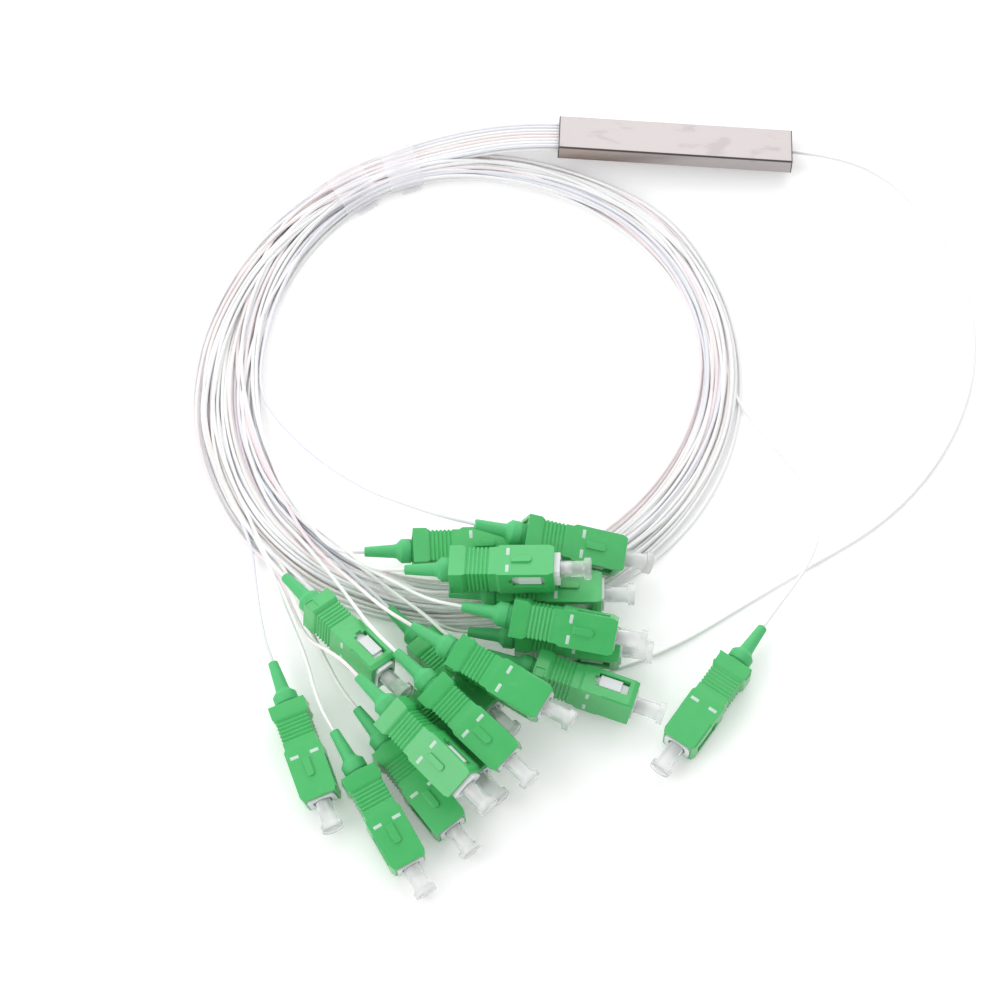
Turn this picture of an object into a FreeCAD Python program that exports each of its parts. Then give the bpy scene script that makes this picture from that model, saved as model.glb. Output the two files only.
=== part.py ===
import FreeCAD, Part
import math
import os

import Sketcher

# A 1 x 16 fibre splitter: a steel-tube splitter module, a coil of 0.9 mm buffered fibre and
# seventeen push-pull plugs.  Millimetres, +Z up.  The origin lies under the middle of the tube
# on the surface that everything rests on; +X runs along the tube from the output end to the
# input end.

Vector = FreeCAD.Vector
doc = FreeCAD.newDocument("fibre_splitter")

# ---------------------------------------------------------------- driving dimensions
SIZES = [
    ("sleeve_length", 60.0, "steel sleeve, along the tube"),
    ("sleeve_width", 12.0, "steel sleeve, across"),
    ("sleeve_height", 4.0, "steel sleeve, thickness of the tube"),
    ("sleeve_wall", 0.3, "sheet thickness of the sleeve"),
    ("sleeve_corner", 0.35, "outer radius of the sleeve's long edges"),
    ("sleeve_yaw", -3.0, "turn of the tube about Z, degrees"),
    ("sleeve_pitch", 2.0, "input end dips by this angle, degrees"),
    ("sleeve_roll", -16.0, "front edge is lifted by this angle, degrees"),
    ("end_plug_depth", 5.0, "length of the plugs in the two ends of the sleeve"),
    ("end_plug_recess", 0.4, "each end plug sits this far inside its mouth"),
    ("end_plug_gap", 0.05, "clearance of an end plug to the sleeve's wall"),
    ("hole_pitch", 1.15, "outlet holes, from one to the next in a row"),
    ("row_pitch", 1.3, "outlet holes, from the lower row to the upper one"),
    ("hole_count", 8, "outlet holes in a row"),
    ("hole_gap", 0.05, "clearance round a fibre in its hole"),
    ("chip_length", 12.0, "splitter chip"),
    ("chip_width", 4.0, "splitter chip and output array"),
    ("chip_height", 2.5, "splitter chip and both arrays"),
    ("chip_shift", 3.0, "middle of the chip from the middle of the tube"),
    ("array_length", 5.0, "fibre array blocks, along the tube"),
    ("input_array_width", 2.5, "input fibre array block"),
    ("bed_height", 0.4, "adhesive bed under the chip and the arrays"),
    ("ribbon_width", 2.2, "bare output fibres, side by side"),
    ("ribbon_height", 0.6, "bare output fibres, two layers"),
    ("bare_fibre", 0.4, "bare input fibre with its coating"),
    ("fibre_diameter", 0.9, "buffered fibre"),
    ("fibre_sides", 4, "flat sides of a fibre's plain section, in place of a circle"),
    ("turned_sides", 12, "flat sides of the small turned pieces, in place of a circle"),
    ("outlet_run", 9.0, "an outlet fibre runs straight this far from the tube"),
    ("coil_height", 2.6, "thickness of the coiled bundle"),
    ("wrap_thickness", 0.2, "clear tape, several layers"),
    ("wrap_gap", 0.7, "loose fit of a wrap beside the bundle"),
    ("wrap_1_angle", 109.0, "place of the first wrap on the coil, degrees"),
    ("wrap_1_length", 8.8, "first wrap along the bundle"),
    ("wrap_2_angle", 123.0, "place of the second wrap on the coil, degrees"),
    ("wrap_2_length", 10.0, "second wrap along the bundle"),
    ("frame_width", 6.9, "inner plug frame"),
    ("frame_height", 5.1, "inner plug frame"),
    ("frame_chamfer", 0.6, "bevel on the frame's four long edges"),
    ("frame_gap", 0.1, "clearance of the frame in the housing, each side"),
    ("lug_height", 3.0, "side lugs of the frame"),
    ("lug_depth", 0.6, "how far a side lug stands out"),
    ("well_width", 4.5, "eight-sided well in the nose of the frame, across flats"),
    ("well_depth", 8.0, "depth of that well"),
    ("travel", 2.0, "how far the housing slides on the frame"),
    ("stop_gap", 0.1, "what is left between a lug and its window at either stop"),
    ("housing_length", 25.0, "grip housing"),
    ("housing_width", 9.0, "grip housing, across the keyed face"),
    ("housing_height", 7.4, "grip housing, from the keyed face to the plain one"),
    ("nose_length", 1.2, "taper of the housing's nose, along"),
    ("nose_inset", 0.55, "taper of the housing's nose, each side"),
    ("grip_start", 3.2, "rear end of the recessed grip"),
    ("grip_end", 12.0, "front end of the recessed grip"),
    ("grip_slope", 0.7, "length of the ramps into the grip"),
    ("grip_side_depth", 0.45, "depth of the grip on the two narrow faces"),
    ("grip_face_depth", 0.2, "depth of the grip on the two wide faces"),
    ("notch_first", 4.35, "middle of the first grip notch"),
    ("notch_pitch", 0.97, "from one grip notch to the next"),
    ("notch_width", 0.66, "grip notch at its mouth"),
    ("notch_depth", 0.35, "grip notch below the recessed face"),
    ("notch_count", 6, "grip notches on each face"),
    ("panel_start", 0.4, "rear side panel, from the rear face"),
    ("panel_length", 2.3, "rear side panel"),
    ("panel_height", 2.9, "rear side panel"),
    ("panel_depth", 0.25, "rear side panel"),
    ("key_start", 14.9, "key, from the rear face"),
    ("key_length", 4.8, "key"),
    ("key_width", 1.7, "key"),
    ("key_height", 0.55, "key above its face"),
    ("window_start", 15.2, "side window, from the rear face"),
    ("window_length", 7.6, "side window"),
    ("window_height", 3.6, "side window, down from the cavity's roof"),
    ("slot_length", 0.8, "slot behind the window"),
    ("slot_height", 1.5, "slot behind the window"),
    ("ledge_start", 17.4, "side ledge, from the rear face"),
    ("ledge_drop", 1.4, "upper edge of the side ledge, below the axis"),
    ("ledge_height", 2.0, "side ledge"),
    ("ledge_depth", 0.35, "side ledge"),
    ("boot_gap", 0.2, "clearance of the boot's collar in the housing's mouth"),
    ("collar_diameter", 5.9, "collar of the boot"),
    ("collar_end", 3.4, "rear end of the collar, behind the rear face"),
    ("collar_slope", 1.2, "length of the boot's shoulder"),
    ("boot_reach", 12.3, "tip of the boot, behind the rear face"),
    ("boot_tip_diameter", 2.4, "boot at its tip"),
    ("boot_root_diameter", 3.4, "boot in front of the shoulder"),
    ("boot_seat", 0.5, "boot meets the frame here, ahead of the rear face"),
    ("ferrule_diameter", 2.5, "ceramic ferrule"),
    ("ferrule_length", 10.4, "ceramic ferrule, out of its flange"),
    ("cap_gap", 0.05, "clearance of the dust cap on the ferrule"),
    ("cap_clearance", 2.0, "rear end of the dust cap, ahead of the bottom of the well"),
    ("cap_barrel_length", 11.7, "dust cap, barrel"),
    ("cap_barrel_diameter", 3.9, "dust cap, barrel"),
    ("cap_flange_diameter", 5.4, "dust cap, flange"),
    ("cap_flange_length", 1.6, "dust cap, flange"),
    ("cap_end_gap", 0.4, "room between the ferrule's tip and the bottom of the cap"),
]

dim = doc.addObject("Spreadsheet::Sheet", "dim")
for row, (alias, number, note) in enumerate(SIZES, start=1):
    dim.set("A%d" % row, note)
    dim.set("B%d" % row, str(number))
    dim.setAlias("B%d" % row, alias)
doc.recompute()


def value(expression):
    """The number that an expression on the sheet gives now."""
    return float(dim.evalExpression(expression))


# Places of the plugs: the middle of the housing's rear face in its foremost place, then yaw,
# pitch and roll in degrees (+X of a plug points at its dust cap, +Z at its key), then how far
# the housing is slid back from that place.  The last one is the input plug, which lies apart.
PLUGS = [
    ((-65.4, -117.5, 8.9), (3, 4, 2), 0.7),
    ((-39.3, -116.4, 15.6), (-6, 17, 10), 0.2),
    ((-55.5, -126.0, 16.6), (-2, -5, -12), 1.4),
    ((-45.0, -128.5, 8.4), (-1, -1, -7), 0.6),
    ((-42.0, -138.0, 16.2), (-11, 2, 32), 0.1),
    ((-40.5, -138.8, 5.5), (-7, 0, 8), 0.5),
    ((-36.6, -148.7, 8.7), (-18, 6, 262), 0.4),
    ((-55.4, -147.5, 16.8), (-32, 3, 193), 0.3),
    ((-63.5, -140.0, 5.3), (-48, -3, 2), 0.5),
    ((-60.7, -156.2, 16.2), (-44, 6, 18), 0.2),
    ((-88.6, -133.0, 9.4), (-48, -6, 259), 0.9),
    ((-69.8, -162.7, 16.4), (-46, 4, 33), 1.0),
    ((-71.4, -167.4, 6.0), (-52, 4, 6), 0.2),
    ((-78.0, -175.0, 7.6), (-60, 8, 4), 0.5),
    ((-95.0, -157.0, 5.4), (-70, 2, 10), 0.5),
    ((-66.0, -155.5, 4.8), (-49, 0, 0), 0.5),
    ((11.0, -146.0, 4.8), (-125, 1, 179), 0.3),
]

# Routes of the fibres from the boots to the coil, in the order of the plugs: the straight run
# out of the boot, then the points after it.  The last point lies inside the coil.
TAILS = [
    (6.0, [(-88.5, -113.0, 6.3), (-91.0, -107.5, 2.2)]),
    (8.0, [(-66.8, -110.2, 19.0), (-78.0, -102.0, 11.0), (-92.0, -89.0, 4.5), (-104.5, -73.0, 1.6)]),
    (8.0, [(-83.0, -118.0, 12.5), (-95.5, -103.0, 2.2)]),
    (6.0, [(-70.0, -124.5, 6.5), (-76.5, -119.0, 2.2)]),
    (8.0, [(-69.5, -127.0, 10.5), (-79.0, -119.5, 5.5), (-85.5, -114.0, 2.2)]),
    (5.0, [(-63.0, -132.5, 4.0), (-68.0, -127.0, 2.2)]),
    (8.0, [(-63.0, -134.5, 9.5), (-70.0, -127.5, 5.5), (-76.0, -121.0, 2.2)]),
    (8.0, [(-80.0, -127.0, 11.0), (-88.0, -117.0, 5.0), (-93.8, -109.0, 2.3)]),
    (6.0, [(-82.0, -119.5, 2.2)]),
    (8.0, [(-80.5, -132.5, 12.5), (-87.2, -121.0, 7.0), (-93.8, -111.0, 2.3)]),
    (7.0, [(-104.8, -108.6, 2.0)]),
    (6.0, [(-87.0, -144.5, 12.5), (-91.0, -139.5, 6.0), (-94.5, -131.5, 2.8), (-99.0, -119.5, 1.8)]),
    (7.0, [(-87.7, -142.0, 4.5), (-93.3, -129.5, 2.6), (-97.8, -117.0, 1.7)]),
    (8.0, [(-91.3, -144.0, 6.5), (-97.0, -130.0, 4.2), (-101.5, -116.0, 1.6)]),
    (7.0, [(-104.0, -125.2, 3.0), (-105.8, -110.0, 1.6)]),
    (6.0, [(-84.0, -134.0, 3.2), (-92.5, -122.0, 1.9)]),
    (7.0, [(28.0, -120.5, 4.2), (31.5, -110.0, 2.4), (26.0, -97.0, 0.6), (17.0, -84.0, 0.6),
           (11.5, -72.0, 1.5)]),
]

# Route of the input fibre from the tube to the coil: a wide arc beside the coil, then under the
# heap of plugs.
INPUT_ROUTE = [
    (56.0, -8.0, 0.6), (73.0, -33.0, 0.55), (75.0, -68.0, 0.55), (56.0, -102.0, 0.55),
    (22.0, -123.0, 0.55), (-10.0, -144.0, 0.55), (-42.0, -151.5, 0.55), (-74.0, -143.0, 0.55),
    (-94.5, -119.0, 0.8),
]

# The coil is a loose oval: its inner and outer edges as a mean radius about its centre and the
# cosine and sine terms of the first three harmonics.
COIL_CENTRE = Vector(-52.0, -60.0, 0.0)
INNER_EDGE = (55.3, (1.6, -4.9), (-1.7, 0.8), (1.9, 0.4))
OUTER_EDGE = (68.8, (-1.0, -6.2), (-0.5, 1.6), (-0.1, -1.0))
EDGE_ARCS = 12


# ---------------------------------------------------------------- modelling helpers
def origin_part(body, role):
    """One of the body's own origin planes or axes."""
    for feature in body.Origin.OriginFeatures:
        if feature.Role == role:
            return feature
    raise ValueError("no origin feature " + role)


def new_body(name):
    return doc.addObject("PartDesign::Body", name)


def new_sketch(body, role, offset="0"):
    """A sketch on one of the body's origin planes, moved along its normal by an expression."""
    sketch = body.newObject("Sketcher::SketchObject", body.Name + "_sketch")
    sketch.AttachmentSupport = [(origin_part(body, role), "")]
    sketch.MapMode = "FlatFace"
    sketch.setExpression("AttachmentOffset.Base.z", offset)
    return sketch


def add_outline(sketch, points):
    """A closed outline whose corners are held by expressions on the sheet."""
    corners = [(value(x), value(y)) for x, y in points]
    first = sketch.GeometryCount
    count = len(points)
    for index, corner in enumerate(corners):
        following = corners[(index + 1) % count]
        sketch.addGeometry(Part.LineSegment(Vector(*corner, 0), Vector(*following, 0)), False)
    for index, (x, y) in enumerate(points):
        line = first + index
        follower = first + (index + 1) % count
        sketch.addConstraint(Sketcher.Constraint("Coincident", line, 2, follower, 1))
        for kind, expression, number in (("DistanceX", x, corners[index][0]),
                                         ("DistanceY", y, corners[index][1])):
            held = sketch.addConstraint(Sketcher.Constraint(kind, -1, 1, line, 1, number))
            sketch.setExpression("Constraints[%d]" % held, expression)


def box_outline(x0, x1, y0, y1):
    return [(x0, y0), (x1, y0), (x1, y1), (x0, y1)]


def mirrored_outline(points):
    """The same outline on the other side of the sketch's first axis."""
    return [(x, "-(%s)" % y) for x, y in points]


def pad(body, sketch, length, symmetric=False):
    feature = body.newObject("PartDesign::Pad", body.Name + "_pad")
    feature.Profile = sketch
    feature.Midplane = symmetric
    feature.setExpression("Length", length)
    doc.recompute()
    return feature


def pocket(body, sketch, depth=None):
    """A pocket: through everything both ways, or to a depth on the side that holds material."""
    before = body.Shape.Volume
    feature = body.newObject("PartDesign::Pocket", body.Name + "_pocket")
    feature.Profile = sketch
    if depth is None:
        feature.Type = "ThroughAll"
        feature.Midplane = True
    else:
        feature.setExpression("Length", depth)
    doc.recompute()
    if body.Shape.Volume > before - 1e-6:
        feature.Reversed = True
        doc.recompute()
    if body.Shape.Volume > before - 1e-6:
        raise ValueError(feature.Name + " cuts nothing")
    return feature


def repeat(body, features, axis_role, pitch, count):
    """A linear pattern of the given features along one of the body's axes."""
    feature = body.newObject("PartDesign::LinearPattern", body.Name + "_pattern")
    feature.Originals = features
    feature.Direction = (origin_part(body, axis_role), [""])
    feature.setExpression("Length", "%s * (%s - 1)" % (pitch, count))
    feature.setExpression("Occurrences", count)
    body.Tip = feature
    doc.recompute()
    return feature


def ring_outline(diameter):
    """A small turned piece in section: a regular outline with its corners on the circle."""
    points = []
    for corner in range(int(value("dim.turned_sides"))):
        angle = "(360 / dim.turned_sides * (%d + 0.5))" % corner
        points.append(("(%s) / 2 * cos(%s)" % (diameter, angle),
                       "(%s) / 2 * sin(%s)" % (diameter, angle)))
    return points


def ring_sketch(body, place, diameter):
    """A turned piece's section at a place along the body's X axis."""
    sketch = new_sketch(body, "YZ_Plane", place)
    add_outline(sketch, ring_outline(diameter))
    return sketch


def taper(body, sections):
    """Flat-sided tapers through sections given as place and diameter."""
    sketches = [ring_sketch(body, place, diameter) for place, diameter in sections]
    feature = body.newObject("PartDesign::AdditiveLoft", body.Name + "_taper")
    feature.Profile = sketches[0]
    feature.Sections = sketches[1:]
    feature.Ruled = True
    doc.recompute()
    return feature


# ---------------------------------------------------------------- one plug, in its own frame
CAVITY_WIDTH = "(dim.frame_width + 2 * dim.frame_gap)"
CAVITY_ROOF = "(dim.frame_height / 2 + dim.frame_gap)"
SIDE = "(dim.housing_width / 2)"
FACE = "(dim.housing_height / 2)"


def grip_outline(face, depth):
    """The recess with ramps at both ends that the fingers hold, on one face."""
    floor = "%s - %s" % (face, depth)
    return [("dim.grip_start", face),
            ("dim.grip_start + dim.grip_slope", floor),
            ("dim.grip_end - dim.grip_slope", floor),
            ("dim.grip_end", face)]


def notch_outline(face, depth):
    """One V-shaped notch across the recessed face, its mouth opened a little beyond it."""
    middle = "dim.notch_first"
    mouth = "%s - %s" % (face, depth)
    return [(middle + " - dim.notch_width / 2", mouth),
            (middle, mouth + " - dim.notch_depth"),
            (middle + " + dim.notch_width / 2", mouth),
            (middle + " + dim.notch_width / 2", face),
            (middle + " - dim.notch_width / 2", face)]


def side_recess(body, start, end, bottom, height, depth):
    """The same shallow recess in both narrow faces, cut upwards from its lower edge."""
    sketch = new_sketch(body, "XY_Plane", bottom)
    outline = box_outline(start, end, "%s - %s" % (SIDE, depth), SIDE)
    add_outline(sketch, outline)
    add_outline(sketch, mirrored_outline(outline))
    return pocket(body, sketch, height)


def housing_master():
    body = new_body("housing_master")
    sketch = new_sketch(body, "XY_Plane")
    nose = "dim.housing_length - dim.nose_length"
    inset = "%s - dim.nose_inset" % SIDE
    add_outline(sketch, [("0", "-" + SIDE), (nose, "-" + SIDE),
                         ("dim.housing_length", "-(%s)" % inset), ("dim.housing_length", inset),
                         (nose, SIDE), ("0", SIDE)])
    pad(body, sketch, "dim.housing_height", symmetric=True)

    notches = []
    for role, face, depth in (("XY_Plane", SIDE, "dim.grip_side_depth"),
                              ("XZ_Plane", FACE, "dim.grip_face_depth")):
        for outline in (grip_outline(face, depth), notch_outline(face, depth)):
            sketch = new_sketch(body, role)
            add_outline(sketch, outline)
            add_outline(sketch, mirrored_outline(outline))
            feature = pocket(body, sketch)
        notches.append(feature)
    repeat(body, notches, "X_Axis", "dim.notch_pitch", "dim.notch_count")

    cavity = new_sketch(body, "YZ_Plane")
    add_outline(cavity, box_outline("-%s / 2" % CAVITY_WIDTH, "%s / 2" % CAVITY_WIDTH,
                                    "-" + CAVITY_ROOF, CAVITY_ROOF))
    pocket(body, cavity)
    mouth = new_sketch(body, "YZ_Plane")
    mouth_half = "(dim.collar_diameter / 2 + dim.boot_gap)"
    add_outline(mouth, box_outline("-%s / 2" % CAVITY_WIDTH, "%s / 2" % CAVITY_WIDTH,
                                   "-" + mouth_half, mouth_half))
    pocket(body, mouth, "dim.boot_seat + dim.travel + dim.stop_gap")

    window = new_sketch(body, "XZ_Plane")
    start = "dim.window_start"
    sill = "%s - dim.window_height" % CAVITY_ROOF
    slot_start = "dim.window_start - dim.slot_length"
    slot_middle = "(%s - dim.window_height / 2)" % CAVITY_ROOF
    slot_low = "%s - dim.slot_height / 2" % slot_middle
    slot_high = "%s + dim.slot_height / 2" % slot_middle
    end = "dim.window_start + dim.window_length"
    add_outline(window, [(start, sill), (end, sill), (end, CAVITY_ROOF), (start, CAVITY_ROOF),
                         (start, slot_high), (slot_start, slot_high), (slot_start, slot_low),
                         (start, slot_low)])
    pocket(body, window)

    side_recess(body, "dim.panel_start", "dim.panel_start + dim.panel_length",
                "-dim.panel_height / 2", "dim.panel_height", "dim.panel_depth")
    side_recess(body, "dim.ledge_start", "dim.housing_length + dim.nose_length",
                "-dim.ledge_drop - dim.ledge_height", "dim.ledge_height", "dim.ledge_depth")

    key = new_sketch(body, "XY_Plane", FACE)
    blunt = "dim.key_start + dim.key_length - dim.key_width / 4"
    end = "dim.key_start + dim.key_length"
    add_outline(key, [("dim.key_start", "-dim.key_width / 2"), (blunt, "-dim.key_width / 2"),
                      (end, "-dim.key_width / 4"), (end, "dim.key_width / 4"),
                      (blunt, "dim.key_width / 2"), ("dim.key_start", "dim.key_width / 2")])
    pad(body, key, "dim.key_height")
    return body


def frame_master():
    """The white inner frame: a bevelled bar with a well in its nose and a lug on each side."""
    body = new_body("frame_master")
    sketch = new_sketch(body, "YZ_Plane", "dim.boot_seat")
    wide = "(dim.frame_width / 2)"
    high = "(dim.frame_height / 2)"
    narrow = "(dim.frame_width / 2 - dim.frame_chamfer)"
    low = "(dim.frame_height / 2 - dim.frame_chamfer)"
    add_outline(sketch, [(wide, "-" + low), (wide, low), (narrow, high), ("-" + narrow, high),
                         ("-" + wide, low), ("-" + wide, "-" + low), ("-" + narrow, "-" + high),
                         (narrow, "-" + high)])
    pad(body, sketch, "dim.housing_length - dim.boot_seat")

    lug = new_sketch(body, "XZ_Plane")
    lug_start = "dim.window_start + dim.stop_gap"
    lug_end = "dim.window_start + dim.window_length - dim.travel - dim.stop_gap"
    lug_middle = "%s - dim.window_height / 2" % CAVITY_ROOF
    add_outline(lug, box_outline(lug_start, lug_end, lug_middle + " - dim.lug_height / 2",
                                 lug_middle + " + dim.lug_height / 2"))
    pad(body, lug, "dim.frame_width + 2 * dim.lug_depth", symmetric=True)

    well = new_sketch(body, "YZ_Plane", "dim.housing_length")
    flat = "(dim.well_width / 2)"
    half_side = "(dim.well_width / 2 * tan(22.5))"
    add_outline(well, [(flat, "-" + half_side), (flat, half_side), (half_side, flat),
                       ("-" + half_side, flat), ("-" + flat, half_side),
                       ("-" + flat, "-" + half_side), ("-" + half_side, "-" + flat),
                       (half_side, "-" + flat)])
    pocket(body, well, "dim.well_depth")
    return body


WELL_BOTTOM = "(dim.housing_length - dim.well_depth)"
CAP_START = WELL_BOTTOM + " + dim.cap_clearance"


def ferrule_master():
    """The ceramic ferrule, standing on the bottom of the frame's well."""
    body = new_body("ferrule_master")
    pad(body, ring_sketch(body, WELL_BOTTOM, "dim.ferrule_diameter"), "dim.ferrule_length")
    return body


def boot_master():
    """The strain-relief boot: a slim taper, a shoulder and the collar that meets the frame."""
    body = new_body("boot_master")
    taper(body, [("-dim.boot_reach", "dim.boot_tip_diameter"),
                 ("-dim.collar_end - dim.collar_slope", "dim.boot_root_diameter"),
                 ("-dim.collar_end", "dim.collar_diameter")])
    collar = ring_sketch(body, "-dim.collar_end", "dim.collar_diameter")
    pad(body, collar, "dim.collar_end + dim.boot_seat")
    return body


def cap_master():
    """The clear dust cap: a barrel with a blind bore over the ferrule, and a flange."""
    body = new_body("cap_master")
    pad(body, ring_sketch(body, CAP_START, "dim.cap_barrel_diameter"), "dim.cap_barrel_length")
    flange_start = CAP_START + " + dim.cap_barrel_length"
    flange = ring_sketch(body, flange_start, "dim.cap_flange_diameter")
    pad(body, flange, "dim.cap_flange_length")
    bore = ring_sketch(body, CAP_START, "dim.ferrule_diameter + 2 * dim.cap_gap")
    pocket(body, bore, "dim.ferrule_length + dim.cap_end_gap - dim.cap_clearance")
    return body


# ---------------------------------------------------------------- the plugs in their places
def plug_placement(plug, slide=0.0):
    """Where a plug's frame lies, moved along its own axis by slide."""
    place, (yaw, pitch, roll), _ = plug
    turn = FreeCAD.Rotation(yaw, pitch, roll)
    return FreeCAD.Placement(Vector(*place) + turn.multVec(Vector(slide, 0, 0)), turn)


def keep(label, shape, placement=FreeCAD.Placement()):
    """A sub-part whose shape is worked out here."""
    part = doc.addObject("Part::Feature", label)
    part.Label = label
    part.Shape = shape
    part.Placement = placement
    return part


def copies(label, master, plugs):
    """The same piece on several plugs, as one sub-part."""
    shapes = []
    for plug in plugs:
        shape = master.Shape.copy()
        shape.Placement = plug_placement(plug).multiply(shape.Placement)
        shapes.append(shape)
    return keep(label, Part.makeCompound(shapes))


def build_plugs():
    housing = housing_master()
    pieces = (("frame", frame_master()), ("ferrule", ferrule_master()),
              ("boot", boot_master()), ("dust_cap", cap_master()))
    parts = []
    for number, plug in enumerate(PLUGS, start=1):
        label = "output_housing_%02d" % number if number < len(PLUGS) else "input_housing"
        parts.append(keep(label, housing.Shape.copy(), plug_placement(plug, -plug[2])))
    for name, master in pieces:
        parts.append(copies("output_%ss" % name, master, PLUGS[:-1]))
        parts.append(copies("input_" + name, master, PLUGS[-1:]))
    return parts


# ---------------------------------------------------------------- the splitter module
def module_placement():
    """The tube's place: turned as it lies, with its lowest corner on the surface."""
    turn = FreeCAD.Rotation(value("dim.sleeve_yaw"), value("dim.sleeve_pitch"),
                            value("dim.sleeve_roll"))
    half = Vector(value("dim.sleeve_length") / 2, value("dim.sleeve_width") / 2,
                  value("dim.sleeve_height") / 2)
    corner = value("dim.sleeve_corner")
    round_centre = Vector(half.x, half.y - corner, corner - half.z)
    lowest = min(turn.multVec(Vector(x * half.x, y * round_centre.y, round_centre.z)).z
                 for x in (-1, 1) for y in (-1, 1)) - corner
    return FreeCAD.Placement(Vector(0, 0, -lowest), turn)


def sleeve():
    body = new_body("steel_sleeve")
    sketch = new_sketch(body, "YZ_Plane")
    width = "dim.sleeve_width / 2"
    height = "dim.sleeve_height / 2"
    add_outline(sketch, box_outline("-" + width, width, "-" + height, height))
    blank = pad(body, sketch, "dim.sleeve_length", symmetric=True)
    along = ["Edge%d" % number for number, edge in enumerate(blank.Shape.Edges, start=1)
             if abs(edge.Vertexes[0].X - edge.Vertexes[-1].X) > value("dim.sleeve_length") / 2]
    rounding = body.newObject("PartDesign::Fillet", "sleeve_edges")
    rounding.Base = (blank, along)
    rounding.setExpression("Radius", "dim.sleeve_corner")
    doc.recompute()
    inside = new_sketch(body, "YZ_Plane")
    width = "(dim.sleeve_width / 2 - dim.sleeve_wall)"
    height = "(dim.sleeve_height / 2 - dim.sleeve_wall)"
    add_outline(inside, box_outline("-" + width, width, "-" + height, height))
    pocket(body, inside)
    return body


FIBRE_CORNER = "(dim.fibre_diameter / 2 * sqrt(2 * pi / (dim.fibre_sides * sin(360 / dim.fibre_sides))))"


def hole_outline(y, z):
    """A hole that clears a fibre's plain section by the same gap on every side."""
    size = "(%s + dim.hole_gap / cos(180 / dim.fibre_sides))" % FIBRE_CORNER
    points = []
    for corner in range(int(value("dim.fibre_sides"))):
        angle = "(360 / dim.fibre_sides * (%d + 0.5))" % corner
        points.append(("%s + %s * cos(%s)" % (y, size, angle),
                       "%s + %s * sin(%s)" % (z, size, angle)))
    return points


def end_plug(name, side, holes):
    """A block in one mouth of the sleeve; side is -1 at the output end and 1 at the input end."""
    body = new_body(name)
    outer = "(dim.sleeve_length / 2 - dim.end_plug_recess)"
    rear = "-" + outer if side < 0 else "(%s - dim.end_plug_depth)" % outer
    sketch = new_sketch(body, "YZ_Plane", rear)
    width = "(dim.sleeve_width / 2 - dim.sleeve_wall - dim.end_plug_gap)"
    height = "(dim.sleeve_height / 2 - dim.sleeve_wall - dim.end_plug_gap)"
    add_outline(sketch, box_outline("-" + width, width, "-" + height, height))
    pad(body, sketch, "dim.end_plug_depth")
    drilling = new_sketch(body, "YZ_Plane")
    for y, z in holes:
        add_outline(drilling, hole_outline(y, z))
    feature = pocket(body, drilling)
    if len(holes) > 1:
        repeat(body, [feature], "Y_Axis", "dim.hole_pitch", "dim.hole_count")
    return body


def module_box(label, placement, x0, x1, width, bottom, height):
    """A box inside the tube, between two places along it."""
    box = doc.addObject("Part::Box", label)
    box.setExpression("Length", "%s - (%s)" % (x1, x0))
    box.setExpression("Width", width)
    box.setExpression("Height", height)
    corner = Vector(value(x0), -value(width) / 2, value(bottom))
    box.Placement = placement.multiply(FreeCAD.Placement(corner, FreeCAD.Rotation()))
    doc.recompute()
    return box


def build_module(placement):
    row = "(dim.row_pitch / 2)"
    first_hole = "(-dim.hole_pitch * (dim.hole_count - 1) / 2)"
    bodies = [sleeve(),
              end_plug("output_end_plug", -1, [(first_hole, "-" + row), (first_hole, row)]),
              end_plug("input_end_plug", 1, [("0", "0")])]
    for body in bodies:
        body.Placement = placement

    floor = "(dim.sleeve_wall - dim.sleeve_height / 2)"
    bench = "(dim.sleeve_wall - dim.sleeve_height / 2 + dim.bed_height)"
    middle = bench + " + dim.chip_height / 2"
    chip_0 = "(dim.chip_shift - dim.chip_length / 2)"
    chip_1 = "(dim.chip_shift + dim.chip_length / 2)"
    array_0 = "(%s - dim.array_length)" % chip_0
    array_1 = "(%s + dim.array_length)" % chip_1
    inner_end = "(dim.sleeve_length / 2 - dim.end_plug_recess - dim.end_plug_depth)"
    boxes = [
        ("adhesive_bed", array_0, array_1, "dim.chip_width", floor, "dim.bed_height"),
        ("splitter_chip", chip_0, chip_1, "dim.chip_width", bench, "dim.chip_height"),
        ("output_fibre_array", array_0, chip_0, "dim.chip_width", bench, "dim.chip_height"),
        ("input_fibre_array", chip_1, array_1, "dim.input_array_width", bench, "dim.chip_height"),
        ("output_ribbon", "-" + inner_end, array_0, "dim.ribbon_width",
         middle + " - dim.ribbon_height / 2", "dim.ribbon_height"),
        ("bare_input_fibre", array_1, inner_end, "dim.bare_fibre",
         middle + " - dim.bare_fibre / 2", "dim.bare_fibre"),
    ]
    return bodies + [module_box(label, placement, *sizes) for label, *sizes in boxes]


# ---------------------------------------------------------------- the coil and its wraps
def edge_radius(edge, angle):
    """Radius of one edge of the coil at an angle in degrees."""
    mean, *harmonics = edge
    total = mean
    for order, (cosine, sine) in enumerate(harmonics, start=1):
        total += cosine * math.cos(math.radians(order * angle))
        total += sine * math.sin(math.radians(order * angle))
    return total


def coil_point(radius, angle):
    turn = math.radians(angle)
    return COIL_CENTRE + Vector(radius * math.cos(turn), radius * math.sin(turn), 0)


def coil_face(edge):
    """The area within one edge of the coil, at the height of its underside."""
    points = []
    for index in range(2 * EDGE_ARCS):
        angle = 180.0 * index / EDGE_ARCS
        points.append(coil_point(edge_radius(edge, angle), angle))
    points.append(points[0])
    arcs = []
    for start in range(0, 2 * EDGE_ARCS, 2):
        arcs.append(Part.Arc(*points[start:start + 3]).toShape())
    face = Part.Face(Part.Wire(arcs))
    face.translate(Vector(0, 0, value("dim.wrap_thickness")))
    return face


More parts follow.
